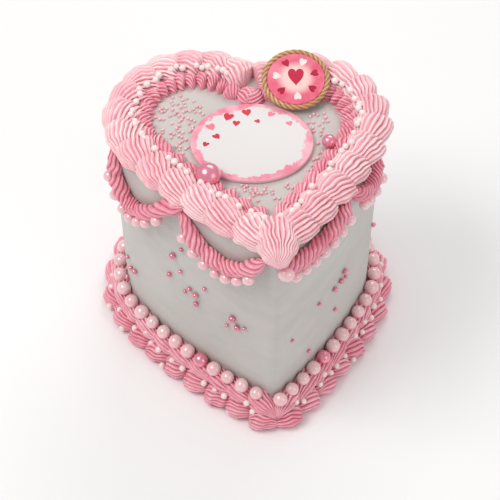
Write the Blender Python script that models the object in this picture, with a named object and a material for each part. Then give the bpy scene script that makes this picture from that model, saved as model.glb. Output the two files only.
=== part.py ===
"""A heart shaped cake: an iced heart with piped shell borders, swags, sugar pearls, a plaque and a topper.

The front tip of the heart points along -Y. Places on the heart are given as side, travel and reach: the side
is 1 for the right half and -1 for the left one, travel runs along the outline from the front tip to the notch
at the back, and reach is the distance outside the cake's wall. Sizes are in metres.
"""

import math
import random

import bmesh
import bpy
from mathutils import Matrix, Vector

MM = 0.001
GAP = 0.3 * MM

# The heart's outline: each half is a long arc from the tip and then the arc of its lobe.
TIP = (19.49 * MM, -81.89 * MM)
TURN = math.radians(5.79)
TIP_HALF_ANGLE = {1: math.radians(51.45), -1: math.radians(55.21)}
SIDE_RADIUS = {1: 338.3 * MM, -1: 354.1 * MM}
SIDE_LENGTH = {1: 105.7 * MM, -1: 121.7 * MM}
LOBE_RADIUS = {1: 52.8 * MM, -1: 54.7 * MM}
NOTCH_SPREAD = 21.5 * MM
TIP_SOFT = 3.7 * MM
TIP_SOFT_INSET = 1.2 * MM
NOTCH_SOFT = 3.0 * MM
OUTLINE_STEP = 11.5 * MM

CAKE_HEIGHT = 186.0 * MM
TOP_EDGE_SOFT = 4.5 * MM

# The piped rows: how far apart their shells are, and each shell's length, half width and half height.
TOP_OUTER = {"pitch": 20.7 * MM, "length": 31.0 * MM, "half_width": 12.0 * MM, "half_height": 8.6 * MM,
             "reach": -7.5 * MM, "height": CAKE_HEIGHT + 2.6 * MM}
TOP_INNER = {"pitch": 11.8 * MM, "length": 16.5 * MM, "half_width": 6.2 * MM, "half_height": 6.4 * MM,
             "reach": -20.3 * MM, "height": CAKE_HEIGHT + 1.0 * MM}
BASE_OUTER = {"pitch": 17.6 * MM, "length": 25.5 * MM, "half_width": 9.0 * MM, "half_height": 9.6 * MM,
              "reach": 9.2 * MM, "height": 6.4 * MM}
BASE_UPPER = {"pitch": 17.6 * MM, "length": 26.0 * MM, "half_width": 7.8 * MM, "half_height": 8.6 * MM,
              "reach": 4.4 * MM, "height": 17.2 * MM}
TIP_SHELL = {"length": 37.0 * MM, "half_width": 14.5 * MM, "half_height": 9.4 * MM,
             "back": 12.5 * MM, "height": CAKE_HEIGHT + 2.4 * MM}
HEAD_TURN = {1: math.radians(6.0), -1: math.radians(-24.0)}
BASE_HEAD_TURN = math.radians(-14.0)
# A shell's profile: it is highest at CREST, drops from there to the head and to the tail, and narrows to the tail.
CREST = 0.36
HEAD_DROP = 0.75
TAIL_DROP = 0.3
TAPER = 0.68
FULLNESS = 0.8
PEAK = math.sin(math.pi * CREST) ** FULLNESS * (1.0 - TAPER * CREST)
HEAD_SHARE = 0.45
RIDGE_DEPTH = 0.085
# First and last travel of each row, the last one counted from the notch, and the faces round and along a shell.
OUTER_SPAN = (22.0 * MM, -8.0 * MM)
INNER_SPAN = (27.0 * MM, 12.0 * MM)
BASE_SPAN = (3.0 * MM, -14.0 * MM)
UPPER_SPAN = (7.0 * MM, -9.0 * MM)
OUTER_FACES = (12, 5)
INNER_FACES = (8, 5)
BASE_FACES = (10, 5)
UPPER_FACES = (6, 5)
FAN_FACES = (18, 6)

# The swags under the top border: side, first and last travel, height at each end, sag and lean.
SWAGS = {
    "swag_front_left": (-1, 12.0, 70.0, 175.5, 180.0, 19.5, 1.0),
    "swag_front_right": (1, 3.0, 65.0, 177.5, 180.5, 5.0, 1.0),
    "swag_side_left": (-1, 79.0, 138.0, 180.0, 180.0, 29.0, 0.7),
    "swag_side_right": (1, 74.0, 106.0, 180.0, 180.5, 8.0, 1.0),
    "swag_lobe_left": (-1, 178.0, 222.0, 180.0, 180.0, 20.0, 1.0),
    "swag_lobe_right": (1, 148.0, 186.0, 180.0, 180.0, 18.0, 1.0),
    "swag_back_left": (-1, 230.0, 266.0, 180.0, 180.0, 17.0, 1.0),
    "swag_back_right": (1, 193.0, 226.0, 180.0, 180.0, 16.0, 1.0),
}
SWAG_RADIUS = 5.6 * MM
SWAG_REACH = 6.5 * MM
SWAG_FACES = (6, 9)
SWAG_TWIST = 2.6
SWAG_RIDGES = 3
SWAG_RIDGE_DEPTH = 0.1
SWAG_PEARL_REACH = 8.0 * MM
SWAG_PEARL_RADIUS = 3.8 * MM
SWAG_PEARL_PITCH = 10.5 * MM
SWAG_PEARL_DROP = 8.5 * MM

# Sugar pearls and dragees.
BASE_PEARL = {"radius": 5.0 * MM, "pitch": 11.6 * MM, "reach": 5.4 * MM, "height": 27.0 * MM}
BASE_PEARL_END = 7.0 * MM
SMALL_PEARL_RADIUS = 2.4 * MM
TOP_PEARL_HEIGHT = CAKE_HEIGHT + 9.2 * MM
TOP_PEARL_REACH = -15.0 * MM
TOP_PEARL_STEPS = (6.0 * MM, 13.0 * MM)
# Small pearls at the foot: first travel, least and greatest step, and the reach and height of each kind of place.
FOOT_PEARL_FIRST = 10.0 * MM
FOOT_PEARL_STEP = (12.0 * MM, 26.0 * MM)
FOOT_PEARL_PLACES = ((13.0 * MM, 14.5 * MM), (15.5 * MM, 5.5 * MM), (11.0 * MM, 18.0 * MM))
# The large pearl under the fan at the tip, on the end of the front right swag.
TIP_PEARL = {"travel": 1.0 * MM, "reach": 6.0 * MM, "height": 175.0 * MM, "radius": 5.2 * MM}
# On the cake's wall: side, travel, height and diameter in millimetres.
WALL_DRAGEES = (
    (-1, 138, 67, 3.4), (-1, 133, 60, 4.0), (-1, 127, 63, 4.4), (-1, 144, 35, 4.0), (-1, 83, 125, 5.0),
    (-1, 75, 138, 3.0), (-1, 88, 99, 3.8), (-1, 77, 112, 3.2), (-1, 74, 92, 3.0), (-1, 69.5, 99, 3.6),
    (-1, 64, 97, 4.4), (-1, 56, 111, 3.2), (-1, 64, 87, 4.2), (-1, 33, 97, 5.2), (-1, 38, 84, 3.0),
    (-1, 29.5, 89, 4.4), (-1, 24, 92, 3.2), (1, 73, 96, 4.6), (1, 68.5, 90, 4.2), (1, 75, 87, 3.0),
    (1, 61, 89, 4.2), (1, 43, 92, 3.2), (1, 64, 61, 3.4), (1, 15.5, 79, 2.8), (1, 34, 45, 3.4),
    (-1, 141, 118, 4.0), (1, 118, 96, 3.6),
    (1, 150, 70, 3.8), (1, 205, 104, 4.2), (1, 211, 96, 3.2),
    (-1, 190, 80, 4.2), (-1, 240, 104, 4.0),
)
# Scattered on the top: middle, half widths and how many.
NONPAREIL_RADIUS = 1.0 * MM
NONPAREIL_SPACE = 2.6 * MM
NONPAREIL_TRIES = 300
BARE_INSET = 28.0 * MM
NONPAREIL_PATCHES = (
    ((-43.8, 26.2), (15.0, 24.0), 14), ((10.2, -28.8), (19.0, 7.0), 7), ((47.2, 7.2), (10.0, 28.0), 7),
)

# The plaque, the topper and the two balls that stand on the top.
PLAQUE_MIDDLE = (3.59 * MM, 9.01 * MM)
PLAQUE_HALF = (39.5 * MM, 33.0 * MM)
PLAQUE_THICK = 3.0 * MM
TOPPER_MIDDLE = (32.39 * MM, 56.11 * MM)
TOPPER_RADIUS = 22.4 * MM
TOPPER_THICK = 2.4 * MM
TOPPER_TILT = math.radians(14.0)
TOPPER_HEIGHT = CAKE_HEIGHT + 10.6 * MM
ROPE_RADIUS = 1.7 * MM
ROPE_STEPS = 26
LARGE_BALL = ((-23.71 * MM, -22.99 * MM), 7.9 * MM)
ROOM = 0.7 * MM
SMALL_BALL = ((52.89 * MM, 7.31 * MM), 4.7 * MM)

SMOOTH_WITHIN = math.radians(35.0)
FLAT_WITHIN = math.radians(0.5)
TOP_SHARE = 0.18
BASE_SHARE = 0.14
SEED = 14


def end_direction(side):
    """The direction of the outward normal where the lobe reaches the notch, and the half's full length."""
    start = TIP_HALF_ANGLE[side]
    turn = start - SIDE_LENGTH[side] / SIDE_RADIUS[side]
    across = SIDE_RADIUS[side] * (math.cos(turn) - math.cos(start))
    end = -math.acos(math.cos(turn) - across / LOBE_RADIUS[side])
    return end, SIDE_LENGTH[side] + (turn - end) * LOBE_RADIUS[side]


def half_length(side):
    return end_direction(side)[1]


def on_heart(side, travel, reach=0.0):
    """The plan position at a travel along one half and a reach outside it. Past the notch it fans round it."""
    start = TIP_HALF_ANGLE[side]
    big = SIDE_RADIUS[side]
    end, length = end_direction(side)
    along = min(travel, length)
    if along <= SIDE_LENGTH[side]:
        turn = start - along / big
        x = big * (math.cos(turn) - math.cos(start))
        y = big * (math.sin(start) - math.sin(turn))
    else:
        bend = start - SIDE_LENGTH[side] / big
        turn = bend - (along - SIDE_LENGTH[side]) / LOBE_RADIUS[side]
        x = big * (math.cos(bend) - math.cos(start)) + LOBE_RADIUS[side] * (math.cos(turn) - math.cos(bend))
        y = big * (math.sin(start) - math.sin(bend)) + LOBE_RADIUS[side] * (math.sin(bend) - math.sin(turn))
    if travel > length:
        turn = end + (travel - length) / NOTCH_SPREAD
    x = side * (x + reach * math.cos(turn))
    y -= reach * math.sin(turn)
    return Vector((TIP[0] + x * math.cos(TURN) - y * math.sin(TURN),
                   TIP[1] + x * math.sin(TURN) + y * math.cos(TURN)))


def collection(name):
    made = bpy.data.collections.new(name)
    bpy.context.scene.collection.children.link(made)
    return made


def material(name, colour, roughness, metallic=0.0):
    made = bpy.data.materials.new(name)
    made.use_nodes = True
    shader = made.node_tree.nodes["Principled BSDF"]
    shader.inputs["Base Color"].default_value = (*colour, 1.0)
    shader.inputs["Roughness"].default_value = roughness
    shader.inputs["Metallic"].default_value = metallic
    return made


def add_object(name, bm, group):
    """A new object from a bmesh, with its faces turned outward."""
    bmesh.ops.recalc_face_normals(bm, faces=bm.faces)
    mesh = bpy.data.meshes.new(name)
    bm.to_mesh(mesh)
    bm.free()
    made = bpy.data.objects.new(name, mesh)
    group.objects.link(made)
    return made


def keep_largest_body(mesh):
    """Drops loose scrap and inner voids, and merges the flat slivers that a cut leaves."""
    bm = bmesh.new()
    bm.from_mesh(mesh)
    left = set(bm.faces)
    bodies = []
    while left:
        body = set()
        waiting = [left.pop()]
        while waiting:
            face = waiting.pop()
            body.add(face)
            joined = [edge for edge in face.edges if len(edge.link_faces) == 2]
            for near in [other for edge in joined for other in edge.link_faces]:
                if near in left:
                    left.discard(near)
                    waiting.append(near)
        bodies.append(body)
    bodies.sort(key=len, reverse=True)
    scrap = [face for body in bodies[1:] for face in body]
    bmesh.ops.delete(bm, geom=scrap, context="FACES")
    bmesh.ops.dissolve_limit(bm, angle_limit=FLAT_WITHIN, verts=bm.verts, edges=bm.edges)
    bmesh.ops.triangulate(bm, faces=bm.faces)
    bm.to_mesh(mesh)
    bm.free()


def apply_modifiers(obj):
    """Replaces an object's mesh by what its modifiers make of it."""
    graph = bpy.context.evaluated_depsgraph_get()
    mesh = bpy.data.meshes.new_from_object(obj.evaluated_get(graph))
    obj.modifiers.clear()
    obj.data = mesh


def join_pieces(name, pieces, cutters, group, look, share=1.0):
    """One closed body: the union of overlapping pieces less the cutters, thinned to a share of its faces."""
    first = pieces[0]
    rest = collection(name + "_pieces")
    for piece in pieces[1:]:
        group.objects.unlink(piece)
        rest.objects.link(piece)
    union = first.modifiers.new("join", "BOOLEAN")
    union.operation = "UNION"
    union.operand_type = "COLLECTION"
    union.collection = rest
    apply_modifiers(first)
    first.name = name
    for piece in pieces[1:]:
        bpy.data.objects.remove(piece)
    bpy.data.collections.remove(rest)
    keep_largest_body(first.data)
    if share < 1.0:
        first.modifiers.new("thin", "DECIMATE").ratio = share
        apply_modifiers(first)
    if cutters:
        for cutter in cutters:
            cut = first.modifiers.new("cut", "BOOLEAN")
            cut.operation = "DIFFERENCE"
            cut.object = cutter
        apply_modifiers(first)
        keep_largest_body(first.data)
    first.data.shade_smooth()
    first.data.set_sharp_from_angle(angle=SMOOTH_WITHIN)
    first.data.materials.clear()
    first.data.materials.append(look)
    return first


def heart_points(reach):
    """The outline's points in order round the heart, with a soft tip and notch."""
    points = []
    for side in (1, -1):
        length = half_length(side)
        count = round((length - TIP_SOFT - NOTCH_SOFT) / OUTLINE_STEP)
        steps = [TIP_SOFT + (length - TIP_SOFT - NOTCH_SOFT) * index / count for index in range(count + 1)]
        half = [on_heart(side, travel, reach) for travel in steps]
        points += half if side == 1 else half[::-1]
    inward = TIP_SOFT_INSET - reach
    points.append(Vector((TIP[0] - inward * math.sin(TURN), TIP[1] + inward * math.cos(TURN))))
    return points


def heart_block(name, reach, low, high, group):
    """A heart shaped block with its top edge rounded over."""
    bm = bmesh.new()
    ring = [bm.verts.new((point.x, point.y, low)) for point in heart_points(reach)]
    base = bm.faces.new(ring)
    raised = bmesh.ops.extrude_face_region(bm, geom=[base])["geom"]
    lifted = [item for item in raised if isinstance(item, bmesh.types.BMVert)]
    bmesh.ops.translate(bm, verts=lifted, vec=(0.0, 0.0, high - low))
    rim = [edge for edge in bm.edges if all(vert.co.z > high - GAP for vert in edge.verts)]
    bmesh.ops.bevel(bm, geom=rim, offset=TOP_EDGE_SOFT + reach, segments=3, profile=0.5, affect="EDGES")
    return add_object(name, bm, group)


def share_along(vert):
    """How far a sphere's vertex is from its top pole, from 0 to 1 at the other pole."""
    return math.acos(max(-1.0, min(1.0, vert.co.z))) / math.pi


def piped_form(faces, size):
    """A shell round the origin: a fat ridged head towards +X, and a tail that tapers away behind it."""
    segments, stations = faces
    bm = bmesh.new()
    bmesh.ops.create_uvsphere(bm, u_segments=segments, v_segments=stations, radius=1.0)
    for vert in bm.verts:
        share = share_along(vert)
        around = math.atan2(vert.co.y, vert.co.x)
        swell = math.sin(math.pi * share) ** FULLNESS * (1.0 - TAPER * share) / PEAK
        if share < CREST:
            drop = HEAD_DROP * (1.0 - share / CREST) ** 2
        else:
            drop = TAIL_DROP * ((share - CREST) / (1.0 - CREST)) ** 2
        ridge = 1.0 + RIDGE_DEPTH * math.cos(segments // 2 * around)
        vert.co = Vector((
            size["length"] * (HEAD_SHARE - 0.5 * (1.0 - math.cos(math.pi * share))),
            size["half_width"] * swell * ridge * math.cos(around),
            size["half_height"] * (swell * ridge * math.sin(around) - drop),
        ))
    return bm


def lay_on_heart(bm, side, travel, reach, height, turn):
    """Moves a form from the origin to a place on the heart, bent along the outline."""
    for vert in bm.verts:
        x, y, z = vert.co
        along = travel + x * math.cos(turn) - y * math.sin(turn)
        out = reach + x * math.sin(turn) + y * math.cos(turn)
        spot = on_heart(side, along, out)
        vert.co = Vector((spot.x, spot.y, height + z))


def shell_row(size, span, faces, turns, group, draw):
    """A row of shells along both halves, each a little unlike the next."""
    made = []
    for side in (1, -1):
        first, last = span[0], half_length(side) + span[1]
        count = round((last - first) / size["pitch"]) + 1
        for index in range(count):
            travel = first + (last - first) * index / (count - 1)
            scale = draw.uniform(0.95, 1.05)
            own = {key: size[key] * scale for key in ("length", "half_width", "half_height")}
            bm = piped_form(faces, own)
            lay_on_heart(bm, side, travel, size["reach"], size["height"], turns[side])
            made.append(add_object("shell", bm, group))
    return made


def ball(name, middle, radius, group, fine=1):
    """A sphere as a coarse icosphere, for the small sugar pearls, or a finer one."""
    bm = bmesh.new()
    bmesh.ops.create_icosphere(bm, subdivisions=fine, radius=radius)
    bmesh.ops.translate(bm, verts=bm.verts, vec=middle)
    return add_object(name, bm, group)


def pearl(middle, radius, group):
    """A larger pearl with its poles up and down."""
    bm = bmesh.new()
    bmesh.ops.create_uvsphere(bm, u_segments=6, v_segments=4, radius=radius)
    bmesh.ops.translate(bm, verts=bm.verts, vec=middle)
    return add_object("pearl", bm, group)


def on_wall(side, travel, reach, height):
    spot = on_heart(side, travel, reach)
    return Vector((spot.x, spot.y, height))


def is_bare_top(spot):
    """True for a place on the top that the border, the plaque and the balls leave free."""
    rim = [on_heart(side, half_length(side) * step / 60.0) for side in (1, -1) for step in range(61)]
    if min((spot.xy - point).length for point in rim) < BARE_INSET:
        return False
    across = (spot.x - PLAQUE_MIDDLE[0]) / (PLAQUE_HALF[0] + NONPAREIL_SPACE)
    along = (spot.y - PLAQUE_MIDDLE[1]) / (PLAQUE_HALF[1] + NONPAREIL_SPACE)
    if across * across + along * along < 1.0:
        return False
    return all((spot.xy - Vector(middle)).length > radius + NONPAREIL_SPACE
               for middle, radius in (LARGE_BALL, SMALL_BALL))


def make_body(group, look):
    """The iced cake with the nonpareils on its top and the dragees on its wall."""
    body = heart_block("cake_body", 0.0, 0.0, CAKE_HEIGHT, group)
    pieces = [body]
    for side, travel, height, across in WALL_DRAGEES:
        radius = across * MM / 2.0
        spot = on_wall(side, travel * MM, 0.55 * radius, height * MM)
        pieces.append(ball("dragee", spot, radius, group))
    draw = random.Random(SEED)
    for (x, y), (half_x, half_y), count in NONPAREIL_PATCHES:
        placed = []
        for _ in range(NONPAREIL_TRIES):
            angle = draw.uniform(0.0, math.tau)
            out = math.sqrt(draw.random())
            spot = Vector((x * MM + half_x * MM * out * math.cos(angle),
                           y * MM + half_y * MM * out * math.sin(angle),
                           CAKE_HEIGHT + 0.55 * NONPAREIL_RADIUS))
            apart = all((spot - other).length > NONPAREIL_SPACE for other in placed)
            if len(placed) < count and apart and is_bare_top(spot):
                placed.append(spot)
        pieces += [ball("nonpareil", spot, NONPAREIL_RADIUS, group) for spot in placed]
    return join_pieces("cake_body", pieces, [], group, look)


def make_top_border(group, cutters, look):
    """Two rows of shells round the rim, a fan at the tip and small pearls in the valley between the rows."""
    draw = random.Random(SEED + 1)
    pieces = shell_row(TOP_OUTER, OUTER_SPAN, OUTER_FACES, HEAD_TURN, group, draw)
    pieces += shell_row(TOP_INNER, INNER_SPAN, INNER_FACES, {1: 0.0, -1: 0.0}, group, draw)
    fan = piped_form(FAN_FACES, TIP_SHELL)
    for vert in fan.verts:
        x, y, z = vert.co
        back = TIP_SHELL["back"] + x
        vert.co = Vector((TIP[0] + y * math.cos(TURN) - back * math.sin(TURN),
                          TIP[1] + y * math.sin(TURN) + back * math.cos(TURN), TIP_SHELL["height"] + z))
    pieces.append(add_object("fan", fan, group))
    shells = join_pieces("shells", pieces, [], group, look, TOP_SHARE)
    pearls = []
    for side in (1, -1):
        travel = OUTER_SPAN[0]
        while travel < half_length(side) + OUTER_SPAN[1]:
            spot = on_wall(side, travel, TOP_PEARL_REACH + draw.uniform(-1.0, 1.0) * MM, TOP_PEARL_HEIGHT)
            if not under_topper(spot):
                pearls.append(ball("pearl", spot, SMALL_PEARL_RADIUS, group))
            travel += draw.choice(TOP_PEARL_STEPS)
    return join_pieces("top_border", [shells, *pearls], cutters, group, look)


def under_topper(spot):
    """True for a place that the topper covers."""
    across = Vector((spot.x - TOPPER_MIDDLE[0], spot.y - TOPPER_MIDDLE[1])).length
    return across < TOPPER_RADIUS + 2.0 * SMALL_PEARL_RADIUS


def make_base_border(group, cutter, floor, look):
    """Two rows of shells round the foot, one above the other, with large pearls along the wall."""
    draw = random.Random(SEED + 2)
    turns = {1: BASE_HEAD_TURN, -1: BASE_HEAD_TURN}
    pieces = shell_row(BASE_OUTER, BASE_SPAN, BASE_FACES, turns, group, draw)
    pieces += shell_row(BASE_UPPER, UPPER_SPAN, UPPER_FACES, turns, group, draw)
    shells = join_pieces("shells", pieces, [], group, look, BASE_SHARE)
    pearls = []
    for side in (1, -1):
        last = half_length(side) - BASE_PEARL_END
        count = round(last / BASE_PEARL["pitch"])
        for index in range(count + 1):
            if side == 1 or index > 0:
                spot = on_wall(side, last * index / count, BASE_PEARL["reach"], BASE_PEARL["height"])
                pearls.append(pearl(spot, BASE_PEARL["radius"] * draw.uniform(0.94, 1.06), group))
        travel = FOOT_PEARL_FIRST
        while travel < half_length(side) + BASE_SPAN[1]:
            reach, height = draw.choice(FOOT_PEARL_PLACES)
            spot = on_wall(side, travel, reach, height)
            pearls.append(ball("pearl", spot, SMALL_PEARL_RADIUS, group))
            travel += draw.uniform(*FOOT_PEARL_STEP)
    return join_pieces("base_border", [shells, *pearls], [cutter, floor], group, look)


def swag_line(side, first, last, first_height, last_height, sag, lean, share):
    """The middle of a swag's rope at a share of its way: travel and height."""
    travel = first + (last - first) * share ** lean
    height = first_height + (last_height - first_height) * share - 4.0 * sag * share * (1.0 - share)
    return travel * MM, height * MM


def make_swag(name, plan, group, look):
    """A twisted rope of icing that sags between two points under the top border, with pearls below it."""
    side, span = plan[0], abs(plan[2] - plan[1]) * MM
    bm = bmesh.new()
    bmesh.ops.create_uvsphere(bm, u_segments=SWAG_FACES[0], v_segments=SWAG_FACES[1], radius=1.0)
    for vert in bm.verts:
        ring = share_along(vert)
        around = math.atan2(vert.co.y, vert.co.x)
        share = 0.02 + 0.96 * ring
        travel, height = swag_line(*plan, share)
        near_travel, near_height = swag_line(*plan, share + 0.01)
        slope = math.atan2(near_height - height, near_travel - travel)
        thick = SWAG_RADIUS * min(1.0, 1.9 * math.sin(math.pi * ring) ** 0.6)
        thick *= 1.0 + SWAG_RIDGE_DEPTH * math.cos(SWAG_RIDGES * around)
        spin = around + SWAG_TWIST * ring * math.pi
        travel -= thick * math.sin(slope) * math.sin(spin)
        height += thick * math.cos(slope) * math.sin(spin)
        vert.co = on_wall(side, travel, SWAG_REACH + thick * math.cos(spin), height)
    pieces = [add_object(name, bm, group)]
    count = max(3, round(span / SWAG_PEARL_PITCH))
    for index in range(count):
        travel, height = swag_line(*plan, (index + 0.5) / count)
        spot = on_wall(side, travel, SWAG_PEARL_REACH, height - SWAG_PEARL_DROP)
        pieces.append(ball("pearl", spot, SWAG_PEARL_RADIUS, group))
    if name == "swag_front_right":
        spot = on_wall(side, TIP_PEARL["travel"], TIP_PEARL["reach"], TIP_PEARL["height"])
        pieces.append(pearl(spot, TIP_PEARL["radius"], group))
    return join_pieces(name, pieces, [], group, look)


def make_plaque(group, look):
    """A flat oval plaque lying on the top."""
    bm = bmesh.new()
    bmesh.ops.create_cone(bm, cap_ends=True, segments=48, radius1=1.0, radius2=1.0, depth=PLAQUE_THICK)
    for vert in bm.verts:
        vert.co.x = PLAQUE_MIDDLE[0] + vert.co.x * PLAQUE_HALF[0]
        vert.co.y = PLAQUE_MIDDLE[1] + vert.co.y * PLAQUE_HALF[1]
        vert.co.z += CAKE_HEIGHT + GAP + PLAQUE_THICK / 2.0
    made = add_object("plaque", bm, group)
    made.data.materials.append(look)
    return made


def make_topper(group, disc_look, rope_look):
    """A round disc that leans on the back of the top border, with a rope of piped icing round its rim."""
    bm = bmesh.new()
    bmesh.ops.create_cone(bm, cap_ends=True, segments=40, radius1=TOPPER_RADIUS - 2.0 * ROPE_RADIUS - GAP,
                          radius2=TOPPER_RADIUS - 2.0 * ROPE_RADIUS - GAP, depth=TOPPER_THICK)
    disc = add_object("topper_disc", bm, group)
    disc.data.materials.append(disc_look)
    ring = bmesh.new()
    bmesh.ops.create_circle(ring, cap_ends=False, segments=5, radius=ROPE_RADIUS)
    bmesh.ops.rotate(ring, verts=ring.verts, matrix=Matrix.Rotation(math.radians(90.0), 3, "X"))
    bmesh.ops.translate(ring, verts=ring.verts, vec=(TOPPER_RADIUS - ROPE_RADIUS, 0.0, 0.0))
    bmesh.ops.spin(ring, geom=ring.verts[:] + ring.edges[:], axis=(0, 0, 1), cent=(0, 0, 0),
                   angle=math.tau, steps=ROPE_STEPS, use_merge=True)
    rope = add_object("topper_rope", ring, group)
    rope.data.shade_smooth()
    rope.data.materials.append(rope_look)
    for piece in (disc, rope):
        piece.location = (*TOPPER_MIDDLE, TOPPER_HEIGHT)
        piece.rotation_euler.x = TOPPER_TILT


def ball_middle(place):
    (x, y), radius = place
    return Vector((x, y, CAKE_HEIGHT + GAP + radius))


def make_room(name, place, group):
    """The dent that a ball makes in the piping beside it."""
    return ball(name, ball_middle(place), place[1] + ROOM, group, fine=2)


def make_topper_room(group):
    """The dent that the leaning topper makes in the piping under it."""
    bm = bmesh.new()
    bmesh.ops.create_cone(bm, cap_ends=True, segments=32, radius1=TOPPER_RADIUS + ROOM,
                          radius2=TOPPER_RADIUS + ROOM, depth=2.0 * (ROPE_RADIUS + ROOM))
    room = add_object("topper_room", bm, group)
    room.location = (*TOPPER_MIDDLE, TOPPER_HEIGHT)
    room.rotation_euler.x = TOPPER_TILT
    return room


def make_metal_ball(name, place, group, look):
    """A metallic ball standing on the top."""
    made = ball(name, ball_middle(place), place[1], group, fine=3 if place == LARGE_BALL else 2)
    made.data.shade_smooth()
    made.data.materials.append(look)


def main():
    for old in list(bpy.data.objects):
        bpy.data.objects.remove(old)
    cake = collection("heart_cake")
    cutters = collection("cutters")
    grey = material("grey_icing", (0.60, 0.56, 0.53), 0.6)
    pale = material("pale_pink_icing", (0.93, 0.52, 0.58), 0.5)
    rose = material("rose_icing", (0.85, 0.33, 0.44), 0.5)
    paper = material("plaque_sugar", (0.88, 0.80, 0.80), 0.4)
    pink = material("topper_sugar", (0.85, 0.40, 0.48), 0.4)
    tan = material("tan_icing", (0.66, 0.45, 0.28), 0.5)
    metal = material("metallic_pink", (0.75, 0.25, 0.36), 0.25, 0.8)
    around_cake = heart_block("around_cake", GAP, -20.0 * MM, CAKE_HEIGHT + GAP, cutters)
    bm = bmesh.new()
    bmesh.ops.create_cube(bm, size=1.0)
    bmesh.ops.scale(bm, vec=(0.4, 0.4, 0.04), verts=bm.verts)
    bmesh.ops.translate(bm, vec=(0.0, 0.0, -0.02), verts=bm.verts)
    floor = add_object("floor", bm, cutters)
    make_body(cake, grey)
    rooms = [make_room("ball_room", place, cutters) for place in (LARGE_BALL, SMALL_BALL)]
    make_top_border(cake, [around_cake, make_topper_room(cutters), *rooms], pale)
    make_base_border(cake, around_cake, floor, rose)
    for name, plan in SWAGS.items():
        make_swag(name, plan, cake, rose)
    make_plaque(cake, paper)
    make_topper(cake, pink, tan)
    make_metal_ball("ball_large", LARGE_BALL, cake, metal)
    make_metal_ball("ball_small", SMALL_BALL, cake, metal)
    for cutter in cutters.objects:
        cutter.hide_render = True
        cutter.display_type = "WIRE"


main()
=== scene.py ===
"""The look of a heart shaped cake: grey icing, piped shells and swags, pearls, a plaque and a topper.

The heart's front tip points along -Y. A place on the heart is a side (1 for the right half, -1 for the
left), a travel along the outline from the tip to the notch at the back, and a reach outside the wall.
Lengths are in metres, but the tables of rows, swags, pearls, dragees and nonpareils hold millimetres.
"""

import math

import bmesh
import bpy
import numpy as np
from mathutils import Matrix, Vector

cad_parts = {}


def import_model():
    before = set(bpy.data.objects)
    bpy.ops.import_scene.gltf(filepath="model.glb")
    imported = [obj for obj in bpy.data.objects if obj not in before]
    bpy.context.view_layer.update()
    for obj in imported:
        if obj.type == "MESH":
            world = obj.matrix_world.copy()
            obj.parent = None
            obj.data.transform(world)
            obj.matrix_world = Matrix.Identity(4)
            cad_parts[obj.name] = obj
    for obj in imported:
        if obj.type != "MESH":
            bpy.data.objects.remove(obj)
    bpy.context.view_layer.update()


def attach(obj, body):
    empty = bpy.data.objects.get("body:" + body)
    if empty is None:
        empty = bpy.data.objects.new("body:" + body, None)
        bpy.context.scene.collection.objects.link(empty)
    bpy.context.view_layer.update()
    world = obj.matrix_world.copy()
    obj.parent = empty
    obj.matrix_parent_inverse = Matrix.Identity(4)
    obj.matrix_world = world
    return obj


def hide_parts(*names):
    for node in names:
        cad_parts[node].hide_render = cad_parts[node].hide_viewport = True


MM = 0.001
SEED = 14

# The heart's outline: each half is a long arc from the tip and then the arc of its lobe.
TIP = (19.49 * MM, -81.89 * MM)
TURN = math.radians(5.79)
TIP_HALF_ANGLE = {1: math.radians(51.45), -1: math.radians(55.21)}
SIDE_RADIUS = {1: 338.3 * MM, -1: 354.1 * MM}
SIDE_LENGTH = {1: 105.7 * MM, -1: 121.7 * MM}
LOBE_RADIUS = {1: 52.8 * MM, -1: 54.7 * MM}
NOTCH_SPREAD = 21.5 * MM
CAKE_HEIGHT = 186.0 * MM
TOP_EDGE_SOFT = 4.5 * MM
# Each wall is drawn from BODY_START past the tip to BODY_END before the notch, and the tip is set back.
BODY_START = 3.7 * MM
BODY_END = 3.0 * MM
BODY_STEPS = 90
TIP_SETBACK = 1.2 * MM

# How far the heads of the shells turn outward, on the right half and on the left one.
HEAD_TURNS = {1: math.radians(6.0), -1: math.radians(-24.0)}
INNER_TURNS = {side: math.radians(-30.0) for side in (1, -1)}
BASE_TURNS = {side: math.radians(20.0) for side in (1, -1)}
UPPER_TURNS = {side: math.radians(-14.0) for side in (1, -1)}
# Rows of shells: the sizes of a shell, where the row lies, how far from the tip it starts and how far before
# the notch it ends, the segments and rings of a shell's form, and the number, depth and curl of its ridges.
TOP_OUTER = {
    "pitch": 20.7, "length": 31.0, "half_width": 12.0, "half_height": 8.6, "reach": -7.5, "height": 188.6,
    "start": 22.0, "end": 8.0, "form": (116, 32), "ridges": 14, "depth": 0.24, "curl": 1.2,
    "turns": HEAD_TURNS,
}
TOP_INNER = {
    "pitch": 11.8, "length": 16.5, "half_width": 6.2, "half_height": 6.4, "reach": -20.3, "height": 187.0,
    "start": 27.0, "end": -12.0, "form": (76, 22), "ridges": 9, "depth": 0.24, "curl": 1.4,
    "turns": INNER_TURNS,
}
BASE_OUTER = {
    "pitch": 17.6, "length": 23.5, "half_width": 9.0, "half_height": 9.6, "reach": 9.2, "height": 6.4,
    "start": 3.0, "end": 14.0, "form": (100, 30), "ridges": 12, "depth": 0.22, "curl": 1.0,
    "turns": BASE_TURNS,
}
BASE_UPPER = {
    "pitch": 17.6, "length": 26.0, "half_width": 7.8, "half_height": 8.6, "reach": 4.4, "height": 17.2,
    "start": 7.0, "end": 9.0, "form": (80, 26), "ridges": 10, "depth": 0.24, "curl": 1.2,
    "turns": UPPER_TURNS,
}
TIP_SHELL = {
    "length": 37.0, "half_width": 14.5, "half_height": 9.4, "back": 12.5, "height": 188.4,
    "form": (170, 44), "ridges": 20, "depth": 0.2, "curl": 0.0,
}
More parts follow.
